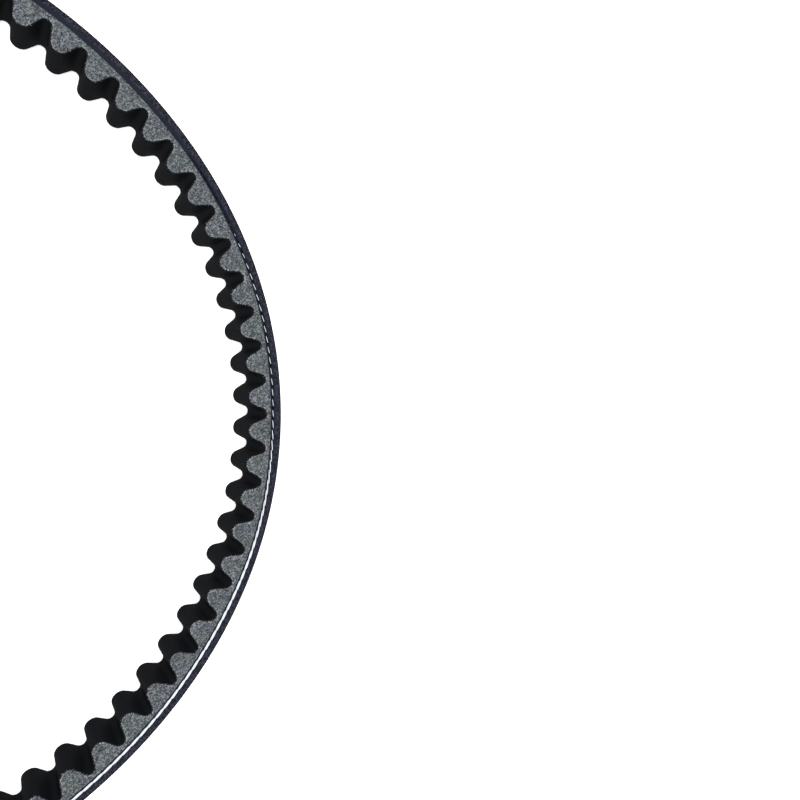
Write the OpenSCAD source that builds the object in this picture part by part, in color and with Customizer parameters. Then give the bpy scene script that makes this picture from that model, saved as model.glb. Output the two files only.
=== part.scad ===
// Raw-edge cogged V belt for a variable-speed drive, lying on its side.
// The loop's axis is Z. The origin is at the loop's centre, on the plane the belt lies on.
// All sizes are in millimetres. Depths are measured from the back, towards the cog tips.

/* [Belt] */
// Length of the loop, measured round its back
outer_length = 828; // [800:1:860]
// Width across the back
top_w = 22.5; // [21:0.1:24]
// Thickness, from the back to the cog tips
belt_h = 9.8; // [9.4:0.1:10.4]
// Angle between the two flanks, in degrees
v_angle = 30; // [26:1:32]

/* [Cogs] */
// Number of cogs round the loop
cogs = 73; // [70:1:75]
// Depth of the bottom of each valley in the rubber
valley_depth = 4.15; // [3.9:0.05:4.4]
// Radius of a rubber cog's round tip
tip_r = 2.6; // [2.4:0.05:2.7]
// Radius of the bottom of a valley in the rubber
valley_r = 2.0; // [1.8:0.05:2.1]

/* [Layers] */
// Thickness of the fabric ply on the back
back_fabric_t = 0.6; // [0.5:0.05:0.7]
// Depth of the underside of the rubber above the cord
overcord_depth = 1.3; // [1.1:0.05:1.3]
// Depth of the top of the space that the cord is wound in
cord_top_depth = 1.5; // [1.4:0.05:1.5]
// Depth of the bottom of the space that the cord is wound in
cord_bottom_depth = 2.8; // [2.8:0.05:2.85]
// Depth of the top of the cogged rubber
undercord_depth = 3.0; // [2.95:0.05:3.1]
// Thickness of the fabric that faces the cogs
facing_t = 0.3; // [0.2:0.05:0.35]

/* [Tension cord] */
// Diameter of the cord
cord_d = 1.0; // [0.8:0.05:1.0]
// Distance between neighbouring turns of the winding
cord_pitch = 1.3; // [1.25:0.05:1.6]
// Angle round the loop at which the winding's upper end lies
cord_end_angle = 160; // [0:1:359]

/* [Hidden] */

$fn = 180;
back_r = outer_length / (2 * PI);
flank_slope = tan(v_angle / 2);
// A cutter runs this far past the solid that it cuts
clear = 1;

// The cog outline: a tip arc and a valley arc joined by a straight flank that touches both
facet_step = 17;
half_cog = 180 / cogs;
tip_centre = [back_r - (belt_h - facing_t - tip_r), 0];
valley_centre = (back_r - valley_depth - valley_r) * [cos(half_cog), sin(half_cog)];
centre_line = valley_centre - tip_centre;
tip_contact = atan2(centre_line.y, centre_line.x) + acos((tip_r + valley_r) / norm(centre_line));
valley_contact = tip_contact - 180;
tip_steps = ceil(2 * (180 - tip_contact) / facet_step);
valley_steps = ceil(2 * (half_cog - valley_contact) / facet_step);

// The winding: rings of corners along a helix, one ring after another
cord_sides = 6;
rings_per_turn = 48;
cord_depth = (cord_top_depth + cord_bottom_depth) / 2;
// A ring's corners lie on the cord's circle, and the chord between two rings dips inside it
chord_dip = (back_r - cord_depth) * (1 - cos(180 / rings_per_turn));
helix_r = back_r - cord_depth + chord_dip / 2;
helix_end = top_w / 2 - cord_bottom_depth * flank_slope - cord_d / 2;
turns = 2 * helix_end / cord_pitch;
ring_count = ceil(turns * rings_per_turn);

// Half the belt's width at a depth below its back
function half_w(depth) = top_w / 2 - depth * flank_slope;

// Points along an arc, from one angle to another
function arc(centre, r, from, to, steps) =
    [for (i = [0:steps]) centre + r * [cos(from + (to - from) * i / steps),
        sin(from + (to - from) * i / steps)]];

function turned(p, angle) = [p.x * cos(angle) - p.y * sin(angle), p.x * sin(angle) + p.y * cos(angle)];

// One cog and the valley after it. grow is the thickness of a layer laid over the rubber
function one_cog(grow) = concat(
    arc(tip_centre, tip_r + grow, 360 - tip_contact, tip_contact, tip_steps),
    arc(valley_centre, valley_r - grow, valley_contact, 2 * half_cog - valley_contact, valley_steps));

function cog_outline(grow) = [for (k = [0:cogs - 1]) for (p = one_cog(grow)) turned(p, k * 2 * half_cog)];

// Corner j of ring i of the cord, which climbs clockwise as seen from above
function cord_corner(i, j) =
    let (around = cord_end_angle + 360 * turns * (1 - i / ring_count),
        side = 360 * (j + 0.5) / cord_sides,
        r = helix_r + cord_d / 2 * cos(side),
        z = helix_end * (2 * i / ring_count - 1) + cord_d / 2 * sin(side))
    [r * cos(around), r * sin(around), z];

// A ring of the belt's V section between two depths, as wide as the belt is there
module v_ring(top, bottom) {
    translate([0, 0, top_w / 2])
        rotate_extrude()
            polygon([[back_r - top, half_w(top)], [back_r - bottom, half_w(bottom)],
                [back_r - bottom, -half_w(bottom)], [back_r - top, -half_w(top)]]);
}

// A straight prism of its 2-D children, from below the belt to above it
module through_prism() {
    translate([0, 0, -clear])
        linear_extrude(top_w + 2 * clear)
            children();
}

// Canvas ply bonded over the back
module back_fabric() {
    color([0.12, 0.12, 0.13]) v_ring(0, back_fabric_t);
}

// Rubber between the back ply and the cord
module overcord_rubber() {
    color([0.19, 0.20, 0.27]) v_ring(back_fabric_t, overcord_depth);
}

// Soft bonding rubber above the cord
module upper_adhesion_gum() {
    color([0.05, 0.05, 0.06]) v_ring(overcord_depth, cord_top_depth);
}

// One continuous cord, wound in a helix from flank to flank
module tension_cord() {
    last = ring_count * cord_sides;
    side_faces = [for (i = [0:ring_count - 1]) for (j = [0:cord_sides - 1])
        let (a = i * cord_sides + j, b = i * cord_sides + (j + 1) % cord_sides)
        for (face = [[a, a + cord_sides, b + cord_sides], [a, b + cord_sides, b]]) face];
    color([0.90, 0.90, 0.92])
        translate([0, 0, top_w / 2])
            polyhedron(
                points = [for (i = [0:ring_count]) for (j = [0:cord_sides - 1]) cord_corner(i, j)],
                faces = concat(side_faces,
                    [[for (j = [0:cord_sides - 1]) j]],
                    [[for (j = [0:cord_sides - 1]) last + cord_sides - 1 - j]]));
}

// Soft bonding rubber below the cord
module lower_adhesion_gum() {
    color([0.05, 0.05, 0.06]) v_ring(cord_bottom_depth, undercord_depth);
}

// Fibre-filled rubber that carries the cogs and presses on the pulleys
module compression_rubber() {
    color([0.44, 0.46, 0.46])
        difference() {
            v_ring(undercord_depth, belt_h + clear);
            through_prism() polygon(cog_outline(0));
        }
}

// Thin knitted fabric moulded over the cogs and valleys
module cog_facing_fabric() {
    color([0.10, 0.11, 0.12])
        intersection() {
            v_ring(valley_depth - clear, belt_h + clear);
            through_prism()
                difference() {
                    polygon(cog_outline(0));
                    polygon(cog_outline(facing_t));
                }
        }
}

back_fabric();
overcord_rubber();
upper_adhesion_gum();
tension_cord();
lower_adhesion_gum();
compression_rubber();
cog_facing_fabric();
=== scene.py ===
import math

import bpy
import numpy as np
from mathutils import Matrix, Vector


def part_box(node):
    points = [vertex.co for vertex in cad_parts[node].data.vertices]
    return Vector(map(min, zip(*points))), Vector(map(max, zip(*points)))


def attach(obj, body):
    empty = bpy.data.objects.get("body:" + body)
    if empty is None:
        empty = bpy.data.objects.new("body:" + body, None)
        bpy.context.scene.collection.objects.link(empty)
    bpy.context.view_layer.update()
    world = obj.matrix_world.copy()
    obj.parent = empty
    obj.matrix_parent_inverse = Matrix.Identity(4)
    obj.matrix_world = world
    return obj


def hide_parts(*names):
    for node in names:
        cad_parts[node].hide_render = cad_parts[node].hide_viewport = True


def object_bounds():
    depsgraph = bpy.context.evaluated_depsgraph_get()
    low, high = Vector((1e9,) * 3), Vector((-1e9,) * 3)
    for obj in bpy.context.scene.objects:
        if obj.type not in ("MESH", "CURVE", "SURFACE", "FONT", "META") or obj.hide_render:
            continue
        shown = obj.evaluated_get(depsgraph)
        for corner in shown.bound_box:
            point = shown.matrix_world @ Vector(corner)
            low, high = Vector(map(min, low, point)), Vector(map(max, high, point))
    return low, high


# A raw-edge cogged V belt that lies on its side. The loop's axis is Z, and z = 0 is the plane it lies on.
# Lengths are in metres. Only the materials' patterns are in millimetres.
MM = 0.001
TURN = 2 * math.pi

# ---------------------------------------------------------------- the frame and what it measures
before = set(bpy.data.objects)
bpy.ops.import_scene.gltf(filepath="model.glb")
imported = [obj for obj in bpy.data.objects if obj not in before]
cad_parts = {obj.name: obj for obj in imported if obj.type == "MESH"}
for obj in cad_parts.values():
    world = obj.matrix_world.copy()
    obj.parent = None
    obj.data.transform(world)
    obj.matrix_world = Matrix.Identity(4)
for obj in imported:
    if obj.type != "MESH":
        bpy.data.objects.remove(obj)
CAD_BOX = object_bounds()


def outer_radius(node):
    """Radius of a ring node's outer face, from the frame."""
    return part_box(node)[1].x


def node_width(node):
    """Width of a node along the belt's axis, from the frame."""
    low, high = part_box(node)
    return high.z - low.z


BACK_R = outer_radius("back_fabric")
TOP_W = node_width("back_fabric")
MID_Z = TOP_W / 2
OVERCORD_R = outer_radius("overcord_rubber")
UPPER_GUM_R = outer_radius("upper_adhesion_gum")
UNDERCORD_R = outer_radius("compression_rubber")
FLANK_SLOPE = (TOP_W - node_width("compression_rubber")) / 2 / (BACK_R - UNDERCORD_R)

# ---------------------------------------------------------------- the belt's own dimensions
# These are the CAD's. Depths are measured inwards from the back
COGS = 73
BELT_H = 9.8 * MM
VALLEY_DEPTH = 4.15 * MM
TIP_R = 2.6 * MM
VALLEY_R = 2.0 * MM
FACING_T = 0.3 * MM
CORD_R = 0.5 * MM
CORD_PITCH = 1.3 * MM
CORD_DEPTH = 2.15 * MM
CORD_LINE_R = BACK_R - CORD_DEPTH

# How finely the meshes follow the shapes
LAYER_STATIONS = 1254
TIP_STEPS = 16
VALLEY_STEPS = 14
COG_FLANK_STEPS = 5
POINTS_A_STRAND = 10

# The layers weren't laid quite evenly: how far their depths swing round the loop, and where
LAYERS_WANDER = 0.13 * MM
LAYERS_RIPPLE = 0.05 * MM
LAYERS_RISE_AT = math.radians(68)
GREY_WANDER = 0.09 * MM
GREY_RISES = 0.05 * MM
GREY_DEEPEST_AT = math.radians(50)
NAVY_SINKS = 0.35 * MM
NAVY_BOTTOM_R = UPPER_GUM_R - NAVY_SINKS
GUM_ROUGHNESS = 0.006 * MM

# The cord is a bundle of twisted strands, dipped in adhesive
STRANDS = 5
CORD_LAY = 16.8 * MM
CORD_PROUD = 0.023 * MM
# The near-black adhesive sleeve round the cord is a real dip coat, and where the cord shows it is also
# painted shade along the cord's edges
ADHESIVE_AND_SHADE_T = 0.12 * MM
ADHESIVE_AND_SHADE_PROUD = 0.013 * MM

# The cord shows where the grinding of the flank has reached it
CORD_SHOWS_AT = math.radians(119)
CORD_SHOWS_FOR = math.radians(265)
# Over this length before it shows, it is already modelled strand by strand
CORD_LEAD = 12 * MM
# How far it stands out there. The angles are degrees round the loop from where it first shows
GRAZED = 0.044 * MM
GRAZED_WITHIN = 15
BARED = 0.154 * MM
BARED_FROM = 33
BARED_WITHIN = 29
CUT_AWAY_A_DEGREE = 0.0045 * MM
CUT_AWAY_FROM = 91
# Ground filaments fill this share of the grooves between the strands
GROOVES_FILLED = 0.45
GROOVES_FILL_WITHIN = 24

# The fibres of the grey rubber and the threads of the canvas
FIBRES_A_COG = 110
FIBRES_AT_EDGE = 0.45
THREAD_PITCH = 0.7 * MM
THREADS_ROUND = round(TURN * BACK_R / (THREAD_PITCH * math.sqrt(2)))


def half_w(r):
    """Half the belt's width at radius r."""
    return MID_Z - (BACK_R - r) * FLANK_SLOPE


# ---------------------------------------------------------------- how the layers wander
def layer_wander(angle):
    """How much deeper than their mean the layers round the cord lie, as the belt was built up by hand."""
    swing = LAYERS_WANDER * np.cos(9 * angle - LAYERS_RISE_AT * 9 + math.pi)
    return swing + LAYERS_RIPPLE * np.sin(14 * angle)


def grey_wander(angle):
    """The same for the top of the grey rubber, which also dips a little in two places round the loop."""
    return layer_wander(angle) + GREY_WANDER * np.cos(2 * angle - GREY_DEEPEST_AT * 2) - GREY_RISES


def no_wander(angle):
    """The same for a face that stays at its mean depth."""
    return 0 * angle


# ---------------------------------------------------------------- mesh helpers
def ease(t):
    """0 up to t = 0, 1 from t = 1, and a smooth step between."""
    t = np.clip(t, 0, 1)
    return t * t * (3 - 2 * t)


def smooth_noise(n, cells, seed):
    """A smooth periodic row of n values in about -1..1 that wanders over the given number of cells."""
    rng = np.random.default_rng(seed)
    knots = rng.uniform(-1, 1, cells)
    t = np.arange(n) * cells / n
    i = t.astype(int)
    share = ease(t - i)
    return knots[i % cells] * (1 - share) + knots[(i + 1) % cells] * share


def polar(r, angle, z):
    """Points from their radius, angle and height."""
    return np.stack([r * np.cos(angle), r * np.sin(angle), z + 0 * r * angle], axis=-1)


def running(x, y):
    """Distance along a closed outline up to each point, and the whole way round."""
    step = np.hypot(np.diff(x, append=x[0]), np.diff(y, append=y[0]))
    return np.concatenate([[0], np.cumsum(step)[:-1]]), step.sum()


def in_scene(name, data):
    """A new object that holds the data and is linked to the scene."""
    item = bpy.data.objects.new(name, data)
    bpy.context.scene.collection.objects.link(item)
    return item


def smooth_piece(name, points, corners, starts, corner_uv, sharp):
    """A smooth-shaded object. corners lists the point at each face's corners, starts the place in that
    list where each face begins, and corner_uv each corner's UV. Edges over sharp degrees stay sharp."""
    mesh = bpy.data.meshes.new(name)
    mesh.vertices.add(points.size // 3)
    mesh.vertices.foreach_set("co", points.astype(np.float32).ravel())
    mesh.loops.add(len(corners))
    mesh.loops.foreach_set("vertex_index", corners.astype(np.int32))
    mesh.polygons.add(len(starts))
    mesh.polygons.foreach_set("loop_start", starts.astype(np.int32))
    uv = mesh.uv_layers.new(name="UVMap")
    mesh.update(calc_edges=True)
    uv.data.foreach_set("uv", corner_uv.astype(np.float32).ravel())
    mesh.polygons.foreach_set("use_smooth", np.ones(len(starts), bool))
    mesh.validate()
    mesh.set_sharp_from_angle(angle=math.radians(sharp))
    return in_scene(name, mesh)


def ring_mesh(name, points, u, v, u_total, v_total, sharp=35):
    """A mesh from rings of points[station, across], closed round the loop and across it.
    u and v are metres along and across the surface at each point, and become its UV map."""
    stations, across = points.shape[:2]
    i, j = np.meshgrid(np.arange(stations), np.arange(across), indexing="ij")
    i, j = i.ravel(), j.ravel()
    i_next, j_next = (i + 1) % stations, (j + 1) % across
    here, ahead = i * across, i_next * across
    quads = np.stack([here + j, ahead + j, ahead + j_next, here + j_next], axis=1)
    u_next = np.vstack([u[1:], u[:1] + u_total])
    v_next = np.hstack([v[:, 1:], v[:, :1] + v_total])
    corner_u = np.stack([u[i, j], u_next[i, j], u_next[i, j_next], u[i, j_next]], axis=1)
    corner_v = np.stack([v[i, j], v[i_next, j], v_next[i_next, j], v_next[i, j]], axis=1)
    corner_uv = np.stack([corner_u, corner_v], axis=-1)
    return smooth_piece(name, points, quads.ravel(), np.arange(0, quads.size, 4), corner_uv, sharp)


def capped_tube(name, points, u, v, v_total):
    """A tube from rings of points[station, around], with a flat cap on each end."""
    stations, around = points.shape[:2]
    i, j = np.meshgrid(np.arange(stations - 1), np.arange(around), indexing="ij")
    i, j = i.ravel(), j.ravel()
    j_next = (j + 1) % around
    here, ahead = i * around, (i + 1) * around
    quads = np.stack([here + j, here + j_next, ahead + j_next, ahead + j], axis=1)
    v_next = np.hstack([v[:, 1:], v[:, :1] + v_total])
    corner_u = np.stack([u[i, j], u[i, j_next], u[i + 1, j_next], u[i + 1, j]], axis=1)
    corner_v = np.stack([v[i, j], v_next[i, j], v_next[i + 1, j], v[i + 1, j]], axis=1)
    corner_uv = np.stack([corner_u, corner_v], axis=-1).reshape(-1, 2)
    caps = [np.arange(around)[::-1], np.arange(around) + (stations - 1) * around]
    corners = np.concatenate([quads.ravel(), *caps])
    starts = np.concatenate([np.arange(0, quads.size, 4), [quads.size, quads.size + around]])
    corner_uv = np.concatenate([corner_uv, np.zeros((2 * around, 2))])
    return smooth_piece(name, points, corners, starts, corner_uv, sharp=40)


def stand_for(piece, node):
    """The piece rides on the belt and replaces its CAD node, which is hidden."""
    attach(piece, "root")
    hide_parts(node)
    return piece


# ---------------------------------------------------------------- layers of the V section
def edge_share(r, z, band):
    """1 for a point on a flank, falling to 0 at a distance band from it."""
    return np.clip(1 - np.abs(np.abs(z) - half_w(r)) / band, 0, 1)


def v_section(r_out, r_in, flank_steps, face_steps, edge):
    """Corners (r, z) of a layer's V section: outer face, upper flank, inner face, lower flank.
    edge rounds the two outer corners, unless it is 0."""
    def side(sign):
        r = np.linspace(r_out, r_in, flank_steps + 1)
        z = sign * half_w(r)
        if edge:
            near_corner = np.clip(1 - (r_out - r) / (3 * edge), 0, 1)
            z = z - sign * edge * near_corner ** 2
        return r, z
    r_up, z_up = side(1)
    r_down, z_down = side(-1)
    z_out = np.linspace(z_down[0], z_up[0], face_steps + 1)[1:-1]
    z_in = np.linspace(z_up[-1], z_down[-1], face_steps + 1)[1:-1]
    r = np.concatenate([np.full(len(z_out), r_out), r_up, np.full(len(z_in), r_in), r_down[::-1]])
    z = np.concatenate([z_out, z_up, z_in, z_down[::-1]])
    return r, z


def ring_piece(name, r_out, r_in, stations, flank_steps, face_steps, edge, relief):
    """A layer of the belt as a ring. relief(r, z, angle) says how far to move each point, as (dr, dz)."""
    section_r, section_z = v_section(r_out, r_in, flank_steps, face_steps, edge)
    v, v_total = running(section_r, section_z)
    angle = np.arange(stations)[:, None] * TURN / stations
    r, z = np.tile(section_r, (stations, 1)), np.tile(section_z, (stations, 1))
    dr, dz = relief(r, z, angle)
    points = polar(r + dr, angle, z + dz + MID_Z)
    u = np.tile(angle * BACK_R, (1, len(section_r)))
    return ring_mesh(name, points, u, np.tile(v, (stations, 1)), TURN * BACK_R, v_total)


def build_back_fabric():
    """The canvas ply, with rounded edges and cut thread ends that stand out of both flanks."""
    edge_band = 0.25 * MM
    corner_depth, corner_dip, corner_round = 0.2 * MM, 0.03 * MM, 0.07 * MM
    thread_proud, wander_proud = 0.045 * MM, 0.02 * MM
    upper_threads_ahead = 0.7
    stations, flank_steps, face_steps = 2 * LAYER_STATIONS, 5, 44
    wander = smooth_noise(stations, cells=300, seed=3)[:, None]

    def relief(r, z, angle):
        on_edge = edge_share(r, z, edge_band)
        flank = np.where(z > 0, 1, -1)
        thread = np.abs(np.sin(angle * THREADS_ROUND / 2 + flank * upper_threads_ahead))
        dz = flank * on_edge * (thread_proud * thread + wander_proud * wander)
        dr = -corner_dip * (1 - thread) * on_edge * (BACK_R - r < corner_depth)
        return dr, dz

    piece = ring_piece("canvas_back_ply", BACK_R, OVERCORD_R, stations, flank_steps, face_steps,
                       corner_round, relief)
    return stand_for(piece, "back_fabric")


def build_ring_layer(name, node, r_out, r_in, seed, roughness,
                     out_wander=layer_wander, in_wander=layer_wander):
    """A plain layer whose ground edge is a little uneven, and whose two faces wander in depth."""
    edge_band = 0.1 * MM
    flank_steps, face_steps = 4, 8
    along = smooth_noise(LAYER_STATIONS, cells=420, seed=seed)[:, None]

    def relief(r, z, angle):
        share = (r - r_in) / (r_out - r_in)
        deeper = out_wander(angle) * share + in_wander(angle) * (1 - share)
        dz = edge_share(r, z, edge_band) * roughness * along - deeper * FLANK_SLOPE
        return -deeper, np.sign(z) * dz

    piece = ring_piece(name, r_out, r_in, LAYER_STATIONS, flank_steps, face_steps, 0, relief)
    return stand_for(piece, node)


def build_overcord():
    """The navy rubber over the cord. Its outer face is bonded to the canvas and doesn't wander."""
    return build_ring_layer("navy_overcord", "overcord_rubber", OVERCORD_R, NAVY_BOTTOM_R,
                            seed=5, roughness=0.012 * MM, out_wander=no_wander)


def build_gum_above_cord():
    """The black gum from the navy rubber to the middle of the cord."""
    return build_ring_layer("gum_above_cord", "upper_adhesion_gum", NAVY_BOTTOM_R, CORD_LINE_R,
                            seed=6, roughness=GUM_ROUGHNESS)


def build_gum_below_cord():
    """The black gum from the middle of the cord to the grey rubber."""
    return build_ring_layer("gum_below_cord", "lower_adhesion_gum", CORD_LINE_R, UNDERCORD_R,
                            seed=7, roughness=GUM_ROUGHNESS, in_wander=grey_wander)


# ---------------------------------------------------------------- the cogs
def cog_outline(grow):
    """One turn of points (r, angle) along the cogs: tip arcs and valley arcs joined by straight flanks.
    grow is the thickness of a layer laid over the rubber."""
    half_cog = math.pi / COGS
    tip = np.array([BACK_R - (BELT_H - FACING_T - TIP_R), 0])
    valley = (BACK_R - VALLEY_DEPTH - VALLEY_R) * np.array([math.cos(half_cog), math.sin(half_cog)])
    line = valley - tip
    contact = math.atan2(line[1], line[0]) + math.acos((TIP_R + VALLEY_R) / np.linalg.norm(line))
    valley_contact = contact - math.pi

    def arc(centre, radius, start, end, steps):
        t = np.linspace(start, end, steps + 1)
        return centre + radius * np.stack([np.cos(t), np.sin(t)], axis=1)

    def between(start, end):
        t = np.linspace(0, 1, COG_FLANK_STEPS + 1)[1:-1, None]
        return start * (1 - t) + end * t

    tip_arc = arc(tip, TIP_R + grow, TURN - contact, contact, TIP_STEPS)
    valley_arc = arc(valley, VALLEY_R - grow, valley_contact, 2 * half_cog - valley_contact, VALLEY_STEPS)
    step = 2 * half_cog
    to_next_cog = np.array([[math.cos(step), math.sin(step)], [-math.sin(step), math.cos(step)]])
    cog = np.concatenate([tip_arc, between(tip_arc[-1], valley_arc[0]), valley_arc,
                          between(valley_arc[-1], tip_arc[0] @ to_next_cog)])
    r = np.hypot(cog[:, 0], cog[:, 1])
    angle = np.arctan2(cog[:, 1], cog[:, 0])
    return np.tile(r, COGS), (angle[None, :] + (np.arange(COGS) * step)[:, None]).ravel()


def build_compression_rubber():
    """The cogged rubber, with both ground flanks and the moulded cogs."""
    flank_steps, face_steps = 10, 6
    uneven, edge_sinks = 0.012 * MM, 0.05 * MM
    r_in, angle = cog_outline(0)
    r_top = UNDERCORD_R - grey_wander(angle[:, None])
    r_side = r_top + (r_in[:, None] - r_top) * np.linspace(0, 1, flank_steps + 1)
    z_side = half_w(r_side)
    rng = np.random.default_rng(11)
    z_side[:, 1:-1] += rng.uniform(-uneven, uneven, (len(r_in), flank_steps - 1))
    z_side[:, -1] -= edge_sinks
    inner = np.linspace(1, -1, face_steps + 1)[1:-1]
    r = np.hstack([r_side, np.tile(r_in[:, None], (1, len(inner))), r_side[:, ::-1]])
    z = np.hstack([z_side, z_side[:, -1:] * inner, -z_side[:, ::-1]])
    outline, whole = running(r_in * np.cos(angle), r_in * np.sin(angle))
    points = polar(r, angle[:, None], z + MID_Z)
    u = np.tile(outline[:, None], (1, r.shape[1]))
    across_step = np.hypot(np.diff(r, axis=1, prepend=r[:, :1]), np.diff(z, axis=1, prepend=z[:, :1]))
    v = np.cumsum(across_step, axis=1)
    piece = ring_mesh("cogged_rubber", points, u, v, whole, 40 * MM)
    return stand_for(piece, "compression_rubber")


def fibre_places(count, seed):
    """Random fibres on a flank: middle (r, angle) and direction. Nearly half of them lie across the cog
    outline and reach past it. The rest are spread over the grey rubber, clear of the gum."""
    clear_of_gum, spread = 0.3 * MM, 0.3 * MM
    reach_in, reach_out, lean_spread = 0.14 * MM, 0.25 * MM, 0.4
    rng = np.random.default_rng(seed)
    r_line, angle_line = cog_outline(0)
    on_line = rng.integers(0, len(r_line), count)
    ahead = (on_line + 1) % len(r_line)
    r_edge, angle = r_line[on_line], angle_line[on_line]
    run_x = r_line[ahead] * np.cos(angle_line[ahead]) - r_edge * np.cos(angle)
    run_y = r_line[ahead] * np.sin(angle_line[ahead]) - r_edge * np.sin(angle)
    across_edge = np.arctan2(run_y, run_x) + math.pi / 2
    at_edge = rng.random(count) < FIBRES_AT_EDGE
    r_top = UNDERCORD_R - grey_wander(angle)
    inside = r_top - np.sqrt(rng.random(count)) * (r_top - r_edge)
    beside_edge = r_edge + rng.uniform(-reach_in, reach_out, count)
    r = np.where(at_edge, beside_edge, np.minimum(inside, r_top - clear_of_gum))
    lean = np.where(at_edge, across_edge + rng.normal(0, lean_spread, count), rng.uniform(0, math.pi, count))
    return r, angle + rng.uniform(-0.5, 0.5, count) * spread / BACK_R, lean


def build_fibre_ends():
    """Pale ends of the rubber's short fibres, combed flat by the grinding: three-sided slivers."""
    narrow_end, sunk, proud = 0.45, -0.03 * MM, 0.02 * MM
    count = COGS * FIBRES_A_COG
    corners = []
    for sign, seed in ((1, 41), (-1, 43)):
        r, angle, lean = fibre_places(count, seed)
        rng = np.random.default_rng(seed + 1)
        half_length = rng.uniform(0.12, 0.30, count) * MM
        half_thick = rng.uniform(0.030, 0.055, count) * MM
        for end, taper in ((-1, 1.0), (1, narrow_end)):
            for side, lift in ((-1, sunk), (1, sunk), (0, proud)):
                along, aside = half_length * end, half_thick * side * taper
                x = r * np.cos(angle) + np.cos(lean) * along - np.sin(lean) * aside
                y = r * np.sin(angle) + np.sin(lean) * along + np.cos(lean) * aside
                z = sign * (half_w(np.hypot(x, y)) + lift) + MID_Z
                corners.append(np.stack([x, y, z], axis=-1))
    # The slivers on the lower flank are mirrored, so their corners are taken the other way round
    upper, lower = np.stack(corners[:6], axis=1), np.stack(corners[6:], axis=1)[:, [1, 0, 2, 4, 3, 5]]
    points = np.concatenate([upper, lower]).reshape(-1, 3)
    first = np.arange(2 * count)[:, None] * 6
    side_faces, end_faces = ((0, 3, 5, 2), (1, 2, 5, 4), (0, 1, 4, 3)), ((0, 2, 1), (3, 4, 5))
    sides = np.concatenate([first + np.array(face) for face in side_faces])
    ends = np.concatenate([first + np.array(face) for face in end_faces])
    mesh = bpy.data.meshes.new("fibre_ends")
    mesh.from_pydata(points.tolist(), [], sides.tolist() + ends.tolist())
    mesh.update()
    mesh.validate()
    return stand_for(in_scene("fibre_ends", mesh), "compression_rubber")


def build_cog_facing():
    """The fabric moulded over cogs and valleys, a little uneven, with a cut edge at each flank."""
    across, knots_across = 24, 9
    behind, back_proud = 0.02 * MM, 0.03 * MM
    edge_ragged, edge_curls = 0.04 * MM, 0.06 * MM
    r_back, angle_back = cog_outline(-behind)
    r_front, angle_front = cog_outline(FACING_T)
    n = len(r_back)
    rows = np.linspace(1, -1, across + 1)
    columns = np.linspace(0, knots_across - 1, across + 1)
    rng = np.random.default_rng(23)
    uneven = np.zeros((n, across + 1))
    for spacing, height in ((6, 0.030 * MM), (14, 0.022 * MM), (30, 0.014 * MM)):
        knots = rng.uniform(-1, 1, (n // spacing, knots_across))
        t = np.arange(n) * len(knots) / n
        i = t.astype(int)
        share = ease(t - i)[:, None]
        band = knots[i % len(knots)] * (1 - share) + knots[(i + 1) % len(knots)] * share
        uneven += height * np.stack([np.interp(columns, np.arange(knots_across), row) for row in band])
    at_edge = np.abs(rows) > 0.99
    ragged = smooth_noise(n, cells=n // 5, seed=31)[:, None] * edge_ragged
    r_face = r_front[:, None] + uneven + np.where(at_edge, edge_curls, 0)
    z_face = (half_w(r_front)[:, None] + ragged * at_edge) * rows
    z_back = half_w(r_back)[:, None] + back_proud
    r = np.hstack([r_back[:, None], r_face, r_back[:, None]])
    z = np.hstack([z_back, z_face, -z_back])
    angle_face = np.tile(angle_front[:, None], (1, across + 1))
    angle = np.hstack([angle_back[:, None], angle_face, angle_back[:, None]])
    points = polar(r, angle, z + MID_Z)
    outline, whole = running(r_front * np.cos(angle_front), r_front * np.sin(angle_front))
    u = np.tile(outline[:, None], (1, r.shape[1]))
    v = np.hstack([z_face[:, :1] + FACING_T, z_face, z_face[:, -1:] - FACING_T])
    piece = ring_mesh("moulded_cog_fabric", points, u, v, whole, -20 * MM, sharp=60)
    return stand_for(piece, "cog_facing_fabric")


# ---------------------------------------------------------------- the cord
def strand_outline(phase):
    """Radius of a bundle of touching round strands, at an angle round it from the crest of one strand."""
    half = math.pi / STRANDS
    ring = CORD_R / (1 + math.sin(half))
    strand = ring * math.sin(half)
    off = (phase + half) % (2 * half) - half
    return ring * np.cos(off) + np.sqrt(np.maximum(strand ** 2 - (ring * np.sin(off)) ** 2, 0))


def cord_stands_out(degrees):
    """How far the cord has risen, so many degrees past the place where it first shows. The flank isn't
    ground quite evenly: it only grazes the strands for a while, then lays the cord bare, and in the end
    cuts it away."""
    grazed = GRAZED * ease(degrees / GRAZED_WITHIN)
    still_to_bare = 1 - np.clip((degrees - BARED_FROM) / BARED_WITHIN, 0, 1)
    bared = BARED * (1 - still_to_bare ** 2)
    cut_away = CUT_AWAY_A_DEGREE * np.maximum(degrees - CUT_AWAY_FROM, 0)
    return grazed + bared + cut_away


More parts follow.
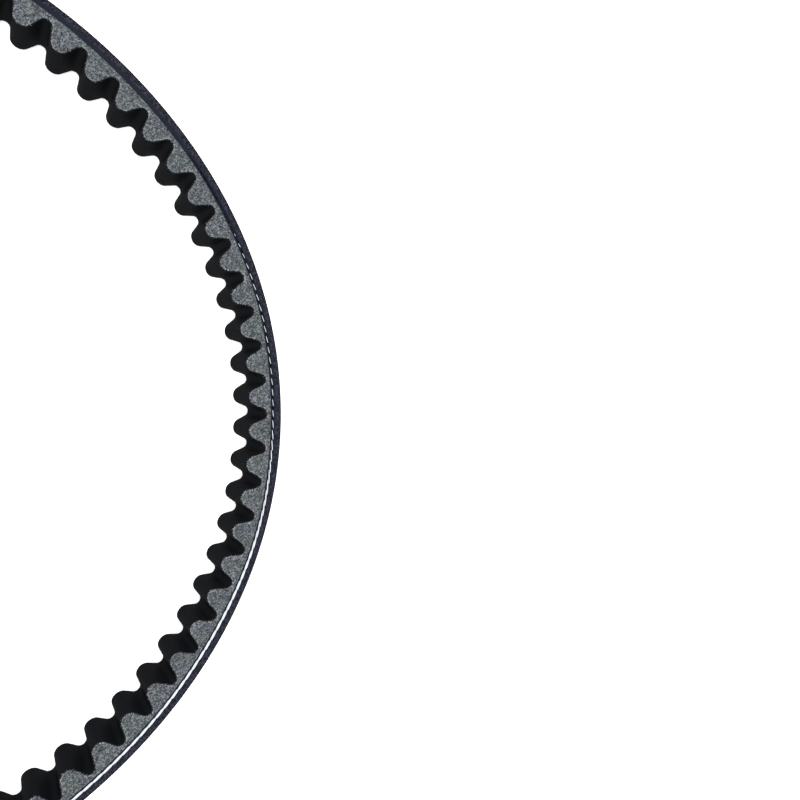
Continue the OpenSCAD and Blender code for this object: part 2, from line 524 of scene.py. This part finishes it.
def cord_path(shown_step):
    """The cord's way from one flank to the other: (sweep, angle, r, z) at each station, then how many
    degrees round the loop it has shown there, and a share that goes from 0 to 1 just before it shows.
    sweep is how far the winding has turned from its middle, and shown_step the distance between the
    stations where it shows."""
    hidden_step = 6 * MM
    z_shows = half_w(CORD_LINE_R) - CORD_R / math.cos(math.atan(FLANK_SLOPE))
    rise = CORD_PITCH / TURN
    # The sweep at which the cord comes out at a flank
    hidden = z_shows / rise
    lead = CORD_LEAD / CORD_LINE_R
    upper = np.arange(hidden - lead, hidden + CORD_SHOWS_FOR, shown_step / CORD_LINE_R)
    middle = np.arange(lead - hidden, hidden - lead, hidden_step / CORD_LINE_R)
    sweep = np.concatenate([-upper[::-1], middle[1:], upper[1:]])
    size = np.abs(sweep)
    degrees = np.degrees(np.maximum(size - hidden, 0))
    angle = CORD_SHOWS_AT + hidden - sweep
    deeper = layer_wander(angle)
    near_flank = size > hidden - lead
    z = np.minimum(size, hidden) * rise + cord_stands_out(degrees) - deeper * FLANK_SLOPE * near_flank
    shows = np.clip((size - hidden + lead) / (lead * 2 / 3), 0, 1)
    return (sweep, angle, CORD_LINE_R - deeper, np.sign(sweep) * z), degrees, shows


def cut_tube(name, path, radius, around, phase, proud):
    """A tube along the cord's path, cut off where it would stand out of a flank by more than proud.
    around is the angle of each point round the tube, and phase the same without the cord's twist."""
    sweep, angle, r_cord, z_cord = (row[:, None] for row in path)
    r = r_cord + radius * np.sin(around)
    limit = half_w(r) + proud
    z = np.clip(z_cord + radius * np.cos(around), -limit, limit)
    u = sweep * CORD_LINE_R + 0 * r
    v = phase * CORD_R + 0 * r
    return capped_tube(name, polar(r, angle, z + MID_Z), u, v, TURN * CORD_R)


def build_cord():
    """One five-strand cord wound in a helix from flank to flank. Both flanks cut it, so that each strand
    shows as it comes up, first in separate dashes and then as one bright line, where the ground
    filaments fill the grooves."""
    path, degrees, shows = cord_path(0.35 * MM)
    twist = TURN * path[0] * CORD_LINE_R / CORD_LAY
    points_round = STRANDS * POINTS_A_STRAND
    phase = np.arange(points_round) * TURN / points_round
    filled = GROOVES_FILLED * ease((degrees - BARED_FROM) / GROOVES_FILL_WITHIN)
    groove = (CORD_R - strand_outline(phase)) * ((1 - filled) * shows)[:, None]
    piece = cut_tube("wound_cord", path, CORD_R - groove, phase + twist[:, None], phase, CORD_PROUD)
    return stand_for(piece, "tension_cord")


def build_cord_sleeve_and_shade():
    """The black adhesive that the cord was dipped in. It is thickened only where the cord shows, so its thin
    near-black outline round the cord is partly the real dip and partly painted shade at the cord's edges.
    """
    points_round = 24
    path, _, shows = cord_path(0.6 * MM)
    around = np.arange(points_round) * TURN / points_round
    # The sleeve grows only where the cord shows, so its dark outline there is painted shade as well as the
    # dip
    piece = cut_tube("cord_sleeve_with_painted_shade", path, CORD_R + ADHESIVE_AND_SHADE_T * shows[:, None], around, around, ADHESIVE_AND_SHADE_PROUD)
    return stand_for(piece, "upper_adhesion_gum")


# ---------------------------------------------------------------- materials
# Linear RGB colours
GREY_COOL = (0.056, 0.0615, 0.0710)
GREY_GREEN = (0.056, 0.0645, 0.0650)
NAVY = (0.0084, 0.0107, 0.0160)
NAVY_VIOLET = (0.0107, 0.0106, 0.0179)
GUM = (0.0048, 0.0062, 0.0110)
GUM_PALE = (0.0085, 0.0105, 0.0175)
# Near-black adhesive: the real dip's colour, which is also painted shade round the cord's edges
ADHESIVE_AND_SHADE_BLACK = (0.0010, 0.0012, 0.0020)
CANVAS = (0.013, 0.014, 0.016)
CANVAS_WORN = (0.045, 0.046, 0.052)
CANVAS_CUT = (0.0042, 0.0048, 0.0066)
CANVAS_LINT = (0.12, 0.12, 0.13)
FACING = (0.0027, 0.0035, 0.0058)
FACING_GREEN = (0.0027, 0.0036, 0.0047)
FACING_DUST = (0.014, 0.015, 0.017)
FIBRE_PALE = (0.52, 0.54, 0.56)
FIBRE_GREY = (0.15, 0.16, 0.17)
THREAD_END = (0.055, 0.056, 0.068)
CORD_WHITE = (0.51, 0.52, 0.555)
CORD_SHADE = (0.365, 0.375, 0.41)
CORD_SOAKED = (0.20, 0.20, 0.23)


class Finish:
    """A node material, built one call at a time. Lengths in its patterns are millimetres."""

    def __init__(self, name, roughness, specular):
        self.material = bpy.data.materials.new(name)
        self.material.use_nodes = True
        self.tree = self.material.node_tree
        self.shader = self.tree.nodes["Principled BSDF"]
        self.shader.inputs["Roughness"].default_value = roughness
        self.shader.inputs["Specular IOR Level"].default_value = specular
        where = self.tree.nodes.new("ShaderNodeTexCoord")
        millimetres = (1000, 1000, 1000)
        self.place = self.scaled(where.outputs["Object"], millimetres)
        self.surface = self.scaled(where.outputs["UV"], millimetres)

    def put(self, socket, value):
        """Links the socket to another node's, or gives it a fixed value."""
        if isinstance(value, bpy.types.NodeSocket):
            self.tree.links.new(value, socket)
        else:
            socket.default_value = value

    def scaled(self, vector, by):
        """The vector times another, part by part."""
        node = self.tree.nodes.new("ShaderNodeVectorMath")
        node.operation = "MULTIPLY"
        self.put(node.inputs[0], vector)
        node.inputs[1].default_value = by
        return node.outputs[0]

    def turned(self, vector, degrees):
        """The vector turned about Z."""
        node = self.tree.nodes.new("ShaderNodeVectorRotate")
        node.rotation_type = "Z_AXIS"
        self.put(node.inputs["Vector"], vector)
        node.inputs["Angle"].default_value = math.radians(degrees)
        return node.outputs[0]

    def part(self, vector, axis):
        """One part of a vector: 0 for x or u, 1 for y or v, 2 for z."""
        node = self.tree.nodes.new("ShaderNodeSeparateXYZ")
        self.put(node.inputs[0], vector)
        return node.outputs[axis]

    def on_flank(self):
        """1 on faces that look along the belt's axis, 0 on its back and inside."""
        where = self.tree.nodes.new("ShaderNodeTexCoord")
        facing = self.math("ABSOLUTE", self.part(where.outputs["Normal"], 2))
        return self.range(facing, 0.6, 0.8)

    def math(self, operation, a, b=0.0):
        """A Math node's result."""
        node = self.tree.nodes.new("ShaderNodeMath")
        node.operation = operation
        for socket, value in zip(node.inputs, (a, b)):
            self.put(socket, value)
        return node.outputs[0]

    def noise(self, vector, size, detail=3.0, roughness=0.55):
        """Noise of about this size in millimetres, 0 to 1."""
        node = self.tree.nodes.new("ShaderNodeTexNoise")
        self.put(node.inputs["Vector"], vector)
        node.inputs["Scale"].default_value = 1 / size
        node.inputs["Detail"].default_value = detail
        node.inputs["Roughness"].default_value = roughness
        return node.outputs["Fac"]

    def range(self, value, low, high, to_low=0.0, to_high=1.0):
        """value from low..high onto to_low..to_high, with soft ends."""
        node = self.tree.nodes.new("ShaderNodeMapRange")
        node.interpolation_type = "SMOOTHSTEP"
        for socket, number in zip(node.inputs, (value, low, high, to_low, to_high)):
            self.put(socket, number)
        return node.outputs[0]

    def mix(self, share, a, b):
        """The colour a where share is 0, b where it is 1, and a blend of them between."""
        node = self.tree.nodes.new("ShaderNodeMix")
        node.data_type = "RGBA"
        self.put(node.inputs[0], share)
        for socket, colour in zip(node.inputs[6:8], (a, b)):
            self.put(socket, (*colour, 1) if isinstance(colour, tuple) else colour)
        return node.outputs[2]

    def shaded(self, colour, factor):
        """The colour times a factor."""
        node = self.tree.nodes.new("ShaderNodeVectorMath")
        node.operation = "SCALE"
        self.put(node.inputs[0], colour)
        self.put(node.inputs["Scale"], factor)
        return node.outputs[0]

    def finish(self, colour, roughness=None, height=None, depth=0.05):
        """Sets the colour, the roughness and a bump of the given depth in millimetres."""
        self.put(self.shader.inputs["Base Color"], colour)
        if roughness is not None:
            self.put(self.shader.inputs["Roughness"], roughness)
        if height is not None:
            node = self.tree.nodes.new("ShaderNodeBump")
            node.inputs["Strength"].default_value = 1.0
            node.inputs["Distance"].default_value = depth * MM
            self.put(node.inputs["Height"], height)
            self.put(self.shader.inputs["Normal"], node.outputs[0])
        return self.material


# The grey rubber's pattern: the size of its flecks, its shade between them, and how far they change it
FLECK_SIZE = 0.36
PLAIN_SHADE = 0.77
PALE_LIGHTENS = 1.28
PITS_DARKEN = 0.62


def fibre_flecks(f, size, slant, seed):
    """Short streaks, about three times as long as they are wide, leaning by slant degrees."""
    moved = f.tree.nodes.new("ShaderNodeVectorMath")
    moved.operation = "ADD"
    f.put(moved.inputs[0], f.turned(f.place, slant))
    moved.inputs[1].default_value = (seed, seed, seed)
    return f.noise(f.scaled(moved.outputs[0], (1, 0.35, 1)), size, 1.0, 0.6)


def grey_rubber():
    """Ground edge of fibre-filled rubber: grey, with pale and dark fibre ends and a slow change of tint."""
    f = Finish("fibre_filled_grey_rubber", 0.85, 0.10)
    tint = f.mix(f.range(f.noise(f.place, 4.0), 0.35, 0.65), GREY_COOL, GREY_GREEN)
    left = fibre_flecks(f, FLECK_SIZE, 35, 3.1)
    right = fibre_flecks(f, FLECK_SIZE, -40, 17.7)
    pale = f.math("MAXIMUM", f.range(left, 0.53, 0.66), f.range(right, 0.53, 0.66))
    pits = f.noise(f.place, 0.42, 2.0)
    dark = f.range(pits, 0.50, 0.36)
    patches = f.range(f.noise(f.place, 2.2), 0.3, 0.7, 0.84, 1.14)
    shade = f.math("ADD", f.math("MULTIPLY", pale, PALE_LIGHTENS), f.math("MULTIPLY", dark, -PITS_DARKEN))
    colour = f.shaded(tint, f.math("MULTIPLY", patches, f.math("ADD", PLAIN_SHADE, shade)))
    height = f.math("ADD", pale, f.math("MULTIPLY", pits, 1.5))
    return f.finish(colour, f.range(pits, 0.3, 0.7, 0.95, 0.75), height, 0.05)


def pale_fibre():
    """Undyed synthetic fibre, a little greyed by the rubber."""
    f = Finish("pale_fibre", 0.6, 0.15)
    return f.finish(f.mix(f.range(f.noise(f.place, 1.1), 0.35, 0.65), FIBRE_GREY, FIBRE_PALE))


def navy_rubber():
    """Ground edge of the rubber over the cord: dark navy, mottled, with pale specks and slanted marks."""
    f = Finish("navy_overcord_rubber", 0.75, 0.05)
    u, v = f.part(f.surface, 0), f.part(f.surface, 1)
    marks = f.math("SINE", f.math("ADD", f.math("MULTIPLY", u, 9.0), f.math("MULTIPLY", v, 7.0)))
    marks = f.math("MULTIPLY", f.range(marks, 0.1, 1.0), f.range(f.noise(f.place, 0.8), 0.4, 0.6))
    specks = f.range(f.noise(f.place, 0.26, 1.0), 0.60, 0.72)
    grain = f.range(f.noise(f.place, 0.45, 2.0), 0.38, 0.62, 0.50, 1.55)
    base = f.mix(f.range(f.noise(f.place, 1.1), 0.40, 0.60), NAVY, NAVY_VIOLET)
    mottle = f.range(f.noise(f.place, 1.1, 2.0), 0.42, 0.58, 0.55, 1.36)
    shade = f.math("ADD", f.math("MULTIPLY", marks, 0.30), f.math("MULTIPLY", specks, 2.3))
    colour = f.shaded(base, f.math("ADD", f.math("MULTIPLY", mottle, grain), shade))
    return f.finish(colour, None, f.math("ADD", specks, marks), 0.02)


def black_gum():
    """Soft unfilled rubber round the cord: nearly black, and smoother where the cutter dragged it."""
    f = Finish("black_adhesion_gum", 0.6, 0.04)
    drag = f.noise(f.scaled(f.surface, (0.12, 1, 1)), 0.25, 2.0)
    colour = f.mix(f.range(drag, 0.4, 0.7), GUM, GUM_PALE)
    return f.finish(colour, f.range(drag, 0.3, 0.7, 0.42, 0.65), drag, 0.02)


def black_adhesive_and_shade():
    """Adhesive that the cord was dipped in: black and matt. Its near-black is also painted shade round the
    cord's edges.
    """
    f = Finish("black_adhesive_with_painted_shade", 0.75, 0.03)
    return f.finish(f.mix(f.range(f.noise(f.place, 0.8), 0.4, 0.6), ADHESIVE_AND_SHADE_BLACK, GUM))


def canvas():
    """Bias-cut canvas soaked in black rubber: crossed threads at 45 degrees, worn a little paler on top."""
    f = Finish("rubber_soaked_canvas", 0.8, 0.10)
    thread_step = TURN * BACK_R / THREADS_ROUND / math.sqrt(2) / MM
    u, v = f.part(f.surface, 0), f.part(f.surface, 1)
    scale = math.pi / (thread_step * math.sqrt(2))
    warp_wave = f.math("SINE", f.math("MULTIPLY", f.math("ADD", u, v), scale))
    weft_wave = f.math("SINE", f.math("MULTIPLY", f.math("SUBTRACT", u, v), scale))
    over = f.range(f.math("MULTIPLY", warp_wave, weft_wave), -0.35, 0.35)
    warp = f.math("MULTIPLY", f.math("ABSOLUTE", warp_wave), over)
    weft = f.math("MULTIPLY", f.math("ABSOLUTE", weft_wave), f.math("SUBTRACT", 1.0, over))
    weave = f.math("ADD", warp, weft)
    filled = f.range(f.noise(f.place, 5.0), 0.35, 0.7, 0.55, 1.0)
    height = f.math("MULTIPLY", weave, filled)
    wear = f.range(f.noise(f.place, 1.6, 4.0), 0.4, 0.7, 0.35, 1.0)
    worn = f.math("MULTIPLY", f.range(height, 0.55, 0.95), wear)
    colour = f.mix(worn, CANVAS, CANVAS_WORN)
    lint = f.range(f.noise(f.place, 0.16, 0.0), 0.70, 0.78)
    colour = f.mix(f.math("MULTIPLY", lint, 0.5), colour, CANVAS_LINT)
    colour = f.mix(f.on_flank(), colour, CANVAS_CUT)
    crest = f.range(f.math("MULTIPLY", warp_wave, warp_wave), 0.55, 0.95)
    ends = f.math("MULTIPLY", crest, f.on_flank())
    bare_ends = f.math("MULTIPLY", ends, f.range(f.noise(f.place, 0.7), 0.42, 0.60, 0.0, 0.65))
    colour = f.mix(bare_ends, colour, THREAD_END)
    return f.finish(colour, f.range(height, 0.2, 0.9, 0.85, 0.6), height, 0.09)


def cog_fabric():
    """Thin knitted fabric soaked in black rubber: fine ribs, with a soft sheen on the round cogs."""
    f = Finish("moulded_knit", 0.65, 0.09)
    u, v = f.part(f.surface, 0), f.part(f.surface, 1)
    rib_pitch, stitch_pitch = 0.62, 0.5
    wobble = f.math("MULTIPLY", f.noise(f.place, 2.5), 0.5)
    rib = f.math("SINE", f.math("MULTIPLY", f.math("ADD", v, wobble), TURN / rib_pitch))
    beside_rib = f.math("ADD", u, f.math("MULTIPLY", rib, 0.12))
    stitch = f.math("SINE", f.math("MULTIPLY", beside_rib, TURN / stitch_pitch))
    knit = f.math("ADD", f.math("MULTIPLY", rib, 0.6), f.math("MULTIPLY", stitch, 0.4))
    patches = f.range(f.noise(f.place, 3.5), 0.3, 0.7, 0.35, 1.0)
    height = f.math("MULTIPLY", knit, patches)
    colour = f.mix(f.range(f.noise(f.place, 6.0), 0.35, 0.65), FACING, FACING_GREEN)
    dust = f.math("MULTIPLY", f.range(f.noise(f.place, 0.3, 2.0), 0.62, 0.8), 0.35)
    colour = f.mix(dust, colour, FACING_DUST)
    return f.finish(colour, f.range(height, -1, 1, 0.78, 0.58), height, 0.03)


def white_cord():
    """Twisted white cord: fine filaments along each strand, and a few grey ones where rubber soaked in."""
    f = Finish("white_polyester_cord", 0.6, 0.2)
    filaments = f.noise(f.scaled(f.surface, (0.12, 1, 1)), 0.11, 2.0)
    soaked = f.range(f.noise(f.place, 2.4), 0.62, 0.80, 0.0, 0.5)
    colour = f.mix(f.range(filaments, 0.3, 0.75), CORD_SHADE, CORD_WHITE)
    colour = f.mix(soaked, colour, CORD_SOAKED)
    return f.finish(colour, None, filaments, 0.03)


def dress(piece, material):
    """Gives the piece this one material."""
    piece.data.materials.clear()
    piece.data.materials.append(material)


# ---------------------------------------------------------------- floor, light and camera
FLOOR_HALF = 20.0
FLOOR_GLOW = 0.5
ROOM_LIGHT = 0.35
# Each light's name, place, size and watts, and the point that they all face
LIGHTS = (("key", (-0.25, 0.05, 0.65), 0.6, 9), ("fill", (0.32, -0.34, 0.50), 0.5, 4))
LIGHTS_AIM = (0, 0.05, 0)
# The camera is over the loop, not far from its axis, and looks down at one side of the belt.
# Its places are in outer radii of the belt
EYE = (-0.09155, 0.36576, 1.97599)
AIM = (0.05708, 1.32500, 0.17074)
ROLL = math.radians(94.836)
LENS = 35.31


def build_floor():
    """A plain pale floor. It glows a little, so that it is white as in the photo."""
    mesh = bpy.data.meshes.new("floor")
    corners = [(x * FLOOR_HALF, y * FLOOR_HALF, 0) for x, y in ((-1, -1), (1, -1), (1, 1), (-1, 1))]
    mesh.from_pydata(corners, [], [(0, 1, 2, 3)])
    floor = in_scene("floor", mesh)
    floor.location.z = CAD_BOX[0].z
    f = Finish("pale_floor", 0.9, 0.1)
    f.shader.inputs["Emission Color"].default_value = (1, 1, 1, 1)
    f.shader.inputs["Emission Strength"].default_value = FLOOR_GLOW
    dress(floor, f.finish((0.92, 0.92, 0.92, 1)))
    floor.visible_diffuse = False
    floor.visible_glossy = False


def build_lights():
    """Even light from the whole room and two large soft lamps above the belt."""
    world = bpy.data.worlds.new("soft_room")
    world.use_nodes = True
    background = world.node_tree.nodes["Background"]
    background.inputs["Color"].default_value = (1, 1, 1, 1)
    background.inputs["Strength"].default_value = ROOM_LIGHT
    bpy.context.scene.world = world
    for name, place, size, watts in LIGHTS:
        light = bpy.data.lights.new(name, "AREA")
        light.size = size
        light.energy = watts
        lamp = in_scene(name, light)
        lamp.location = place
        lamp.rotation_mode = "QUATERNION"
        lamp.rotation_quaternion = (Vector(LIGHTS_AIM) - Vector(place)).to_track_quat("-Z", "Y")


def build_camera():
    """The photo's camera, as fitted to the belt's outlines."""
    camera = in_scene("camera", bpy.data.cameras.new("camera"))
    camera.data.sensor_width = 36
    camera.data.lens = LENS
    camera.data.clip_start = 0.01
    eye, aim = Vector(EYE) * BACK_R, Vector(AIM) * BACK_R
    level = (aim - eye).to_track_quat("-Z", "Y").to_matrix()
    rolled = level @ Matrix.Rotation(ROLL, 3, "Z")
    camera.matrix_world = Matrix.Translation(eye) @ rolled.to_4x4()
    bpy.context.scene.camera = camera


# ---------------------------------------------------------------- the scene
bpy.context.scene.view_settings.view_transform = "Standard"
build_camera()
gum = black_gum()
dress(build_back_fabric(), canvas())
dress(build_overcord(), navy_rubber())
dress(build_gum_above_cord(), gum)
dress(build_cord(), white_cord())
dress(build_cord_sleeve_and_shade(), black_adhesive_and_shade())
dress(build_gum_below_cord(), gum)
dress(build_compression_rubber(), grey_rubber())
dress(build_fibre_ends(), pale_fibre())
dress(build_cog_facing(), cog_fabric())
build_floor()
build_lights()
